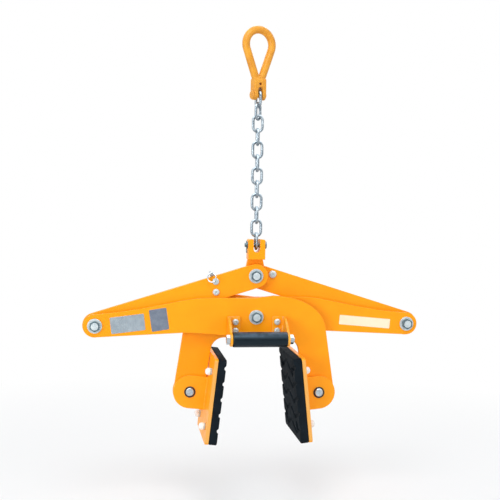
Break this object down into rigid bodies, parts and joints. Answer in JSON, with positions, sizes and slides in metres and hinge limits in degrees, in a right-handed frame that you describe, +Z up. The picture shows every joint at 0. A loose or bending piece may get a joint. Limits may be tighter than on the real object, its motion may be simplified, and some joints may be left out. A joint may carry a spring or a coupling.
{
  "type": "scissor clamp",
  "caption": "Scissor lifting clamp with two crossed bell-crank jaws, rubber-faced swivelling pads, hold-open latch, bar handle, chain and master link.",
  "frame": {"origin": "hook seat, the inside top of the master link's eye", "axes": "+Z up along the chain, -Y towards the handle side, +X to the right seen from the handle side"},
  "size_m": [0.761, 0.1905, 0.9122],
  "materials": {
    "yellow_paint": "glossy orange-yellow powder coat",
    "ochre_paint": "satin ochre paint on forged steel",
    "bright_zinc": "bright zinc plate",
    "dark_steel": "blackened steel",
    "pad_rubber": "moulded matt rubber",
    "grip_plastic": "satin black plastic"
  },
  "bodies": {
    "master": {"master_link": "ochre_paint", "master_link_pin": "ochre_paint"},
    "chain_01": {"chain_link_01": "bright_zinc"},
    "chain_02": {"chain_link_02": "bright_zinc"},
    "chain_03": {"chain_link_03": "bright_zinc"},
    "chain_04": {"chain_link_04": "bright_zinc"},
    "chain_05": {"chain_link_05": "bright_zinc"},
    "chain_06": {"chain_link_06": "bright_zinc"},
    "chain_07": {"chain_link_07": "bright_zinc"},
    "chain_08": {"chain_link_08": "bright_zinc"},
    "chain_09": {"chain_link_09": "bright_zinc"},
    "chain_10": {"chain_link_10": "bright_zinc"},
    "chain_11": {"chain_link_11": "bright_zinc"},
    "chain_12": {"chain_link_12": "bright_zinc"},
    "lug": {"chain_lug": "yellow_paint", "lug_pin": "bright_zinc", "lug_split_pin": "bright_zinc", "top_pivot_bolt": "bright_zinc", "top_pivot_nut": "bright_zinc", "top_pivot_washer": "bright_zinc"},
    "left_arm": {"left_link": "yellow_paint", "left_outer_pivot_bolt": "bright_zinc", "left_outer_pivot_nut": "bright_zinc", "left_outer_pivot_washer": "bright_zinc", "latch_pivot_bolt": "bright_zinc", "latch_stop_bolt": "bright_zinc"},
    "right_arm": {"right_link": "yellow_paint", "right_outer_pivot_bolt": "bright_zinc", "right_outer_pivot_nut": "bright_zinc", "right_outer_pivot_washer": "bright_zinc"},
    "front_jaw": {"front_jaw": "yellow_paint", "centre_pivot_bolt": "bright_zinc", "centre_pivot_nut": "bright_zinc", "centre_pivot_washer": "bright_zinc", "centre_spacer": "dark_steel", "left_handle_bracket": "yellow_paint", "right_handle_bracket": "yellow_paint", "handle_grip": "grip_plastic", "handle_rod": "bright_zinc", "bracket_bolt_1": "bright_zinc", "bracket_bolt_2": "bright_zinc", "bracket_bolt_3": "bright_zinc", "bracket_bolt_4": "bright_zinc"},
    "rear_jaw": {"rear_jaw": "yellow_paint"},
    "left_pad": {"left_pad_plate": "yellow_paint", "left_pad_rubber": "pad_rubber", "left_pad_pin": "bright_zinc", "left_pad_bolt_1": "bright_zinc", "left_pad_bolt_2": "bright_zinc", "left_pad_bolt_3": "bright_zinc", "left_pad_bolt_4": "bright_zinc"},
    "right_pad": {"right_pad_plate": "yellow_paint", "right_pad_rubber": "pad_rubber", "right_pad_pin": "bright_zinc", "right_pad_bolt_1": "bright_zinc", "right_pad_bolt_2": "bright_zinc", "right_pad_bolt_3": "bright_zinc", "right_pad_bolt_4": "bright_zinc"},
    "latch": {"latch_pawl": "bright_zinc"},
    "pull_ring": {"latch_ring": "bright_zinc"}
  },
  "joints": [
    {"name": "chain_01_swing", "type": "hinge", "parent": "master", "child": "chain_01", "pos_m": [0, 0, -0.135], "axis": [0.9397, 0.342, 0], "range_deg": [-12, 12]},
    {"name": "chain_02_swing", "type": "hinge", "parent": "chain_01", "child": "chain_02", "pos_m": [0, 0, -0.1611], "axis": [-0.342, 0.9397, 0], "range_deg": [-8, 8]},
    {"name": "chain_03_swing", "type": "hinge", "parent": "chain_02", "child": "chain_03", "pos_m": [0, 0, -0.1883], "axis": [0.5736, 0.8192, 0], "range_deg": [-8, 8]},
    {"name": "chain_04_swing", "type": "hinge", "parent": "chain_03", "child": "chain_04", "pos_m": [0, 0, -0.2155], "axis": [1, 0, 0], "range_deg": [-12, 12]},
    {"name": "chain_05_swing", "type": "hinge", "parent": "chain_04", "child": "chain_05", "pos_m": [0, 0, -0.2444], "axis": [0, 1, 0], "range_deg": [-12, 12]},
    {"name": "chain_06_swing", "type": "hinge", "parent": "chain_05", "child": "chain_06", "pos_m": [0, 0, -0.2733], "axis": [1, 0, 0], "range_deg": [-12, 12]},
    {"name": "chain_07_swing", "type": "hinge", "parent": "chain_06", "child": "chain_07", "pos_m": [0, 0, -0.3022], "axis": [0, 1, 0], "range_deg": [-12, 12]},
    {"name": "chain_08_swing", "type": "hinge", "parent": "chain_07", "child": "chain_08", "pos_m": [0, 0, -0.3311], "axis": [1, 0, 0], "range_deg": [-12, 12]},
    {"name": "chain_09_swing", "type": "hinge", "parent": "chain_08", "child": "chain_09", "pos_m": [0, 0, -0.36], "axis": [0, 1, 0], "range_deg": [-12, 12]},
    {"name": "chain_10_swing", "type": "hinge", "parent": "chain_09", "child": "chain_10", "pos_m": [0, 0, -0.3889], "axis": [1, 0, 0], "range_deg": [-12, 12]},
    {"name": "chain_11_swing", "type": "hinge", "parent": "chain_10", "child": "chain_11", "pos_m": [0, 0, -0.4178], "axis": [0, 1, 0], "range_deg": [-12, 12]},
    {"name": "chain_12_swing", "type": "hinge", "parent": "chain_11", "child": "chain_12", "pos_m": [0, 0, -0.4467], "axis": [1, 0, 0], "range_deg": [-12, 12]},
    {"name": "lug_swing", "type": "hinge", "parent": "chain_12", "child": "lug", "pos_m": [0, 0, -0.4671], "axis": [1, 0, 0], "range_deg": [-8, 8]},
    {"name": "front_jaw_pivot", "type": "hinge", "parent": "left_arm", "child": "front_jaw", "pos_m": [-0.35352, 0, -0.6453], "axis": [0, 1, 0], "range_deg": [0, 18]},
    {"name": "rear_jaw_pivot", "type": "hinge", "parent": "right_arm", "child": "rear_jaw", "pos_m": [0.35352, 0, -0.6453], "axis": [0, 1, 0], "range_deg": [-18, 0]},
    {"name": "left_link_pivot", "type": "hinge", "parent": "lug", "child": "left_arm", "pos_m": [0, 0, -0.5361], "axis": [0, 1, 0], "range_deg": [-2.8, 0]},
    {"name": "right_link_pivot", "type": "hinge", "parent": "lug", "child": "right_arm", "pos_m": [0, 0, -0.5361], "axis": [0, 1, 0], "range_deg": [0, 2.8]},
    {"name": "left_pad_pivot", "type": "hinge", "parent": "rear_jaw", "child": "left_pad", "pos_m": [-0.1439, 0, -0.79577], "axis": [0, 1, 0], "range_deg": [0, 12]},
    {"name": "right_pad_pivot", "type": "hinge", "parent": "front_jaw", "child": "right_pad", "pos_m": [0.1439, 0, -0.79577], "axis": [0, -1, 0], "range_deg": [0, 12]},
    {"name": "latch_pivot", "type": "hinge", "parent": "left_arm", "child": "latch", "pos_m": [-0.09014, 0, -0.54856], "axis": [0, 1, 0], "range_deg": [-10, 0]},
    {"name": "latch_ring_swing", "type": "hinge", "parent": "latch", "child": "pull_ring", "pos_m": [-0.1, -0.0191, -0.53002], "axis": [0.9063, -0.4226, 0], "range_deg": [-15, 15]}
  ],
  "couplings": [
    {"joint": "rear_jaw_pivot", "follows": "front_jaw_pivot", "ratio": -1},
    {"joint": "left_link_pivot", "follows": "front_jaw_pivot", "ratio": -0.1503},
    {"joint": "right_link_pivot", "follows": "front_jaw_pivot", "ratio": 0.1503}
  ]
}
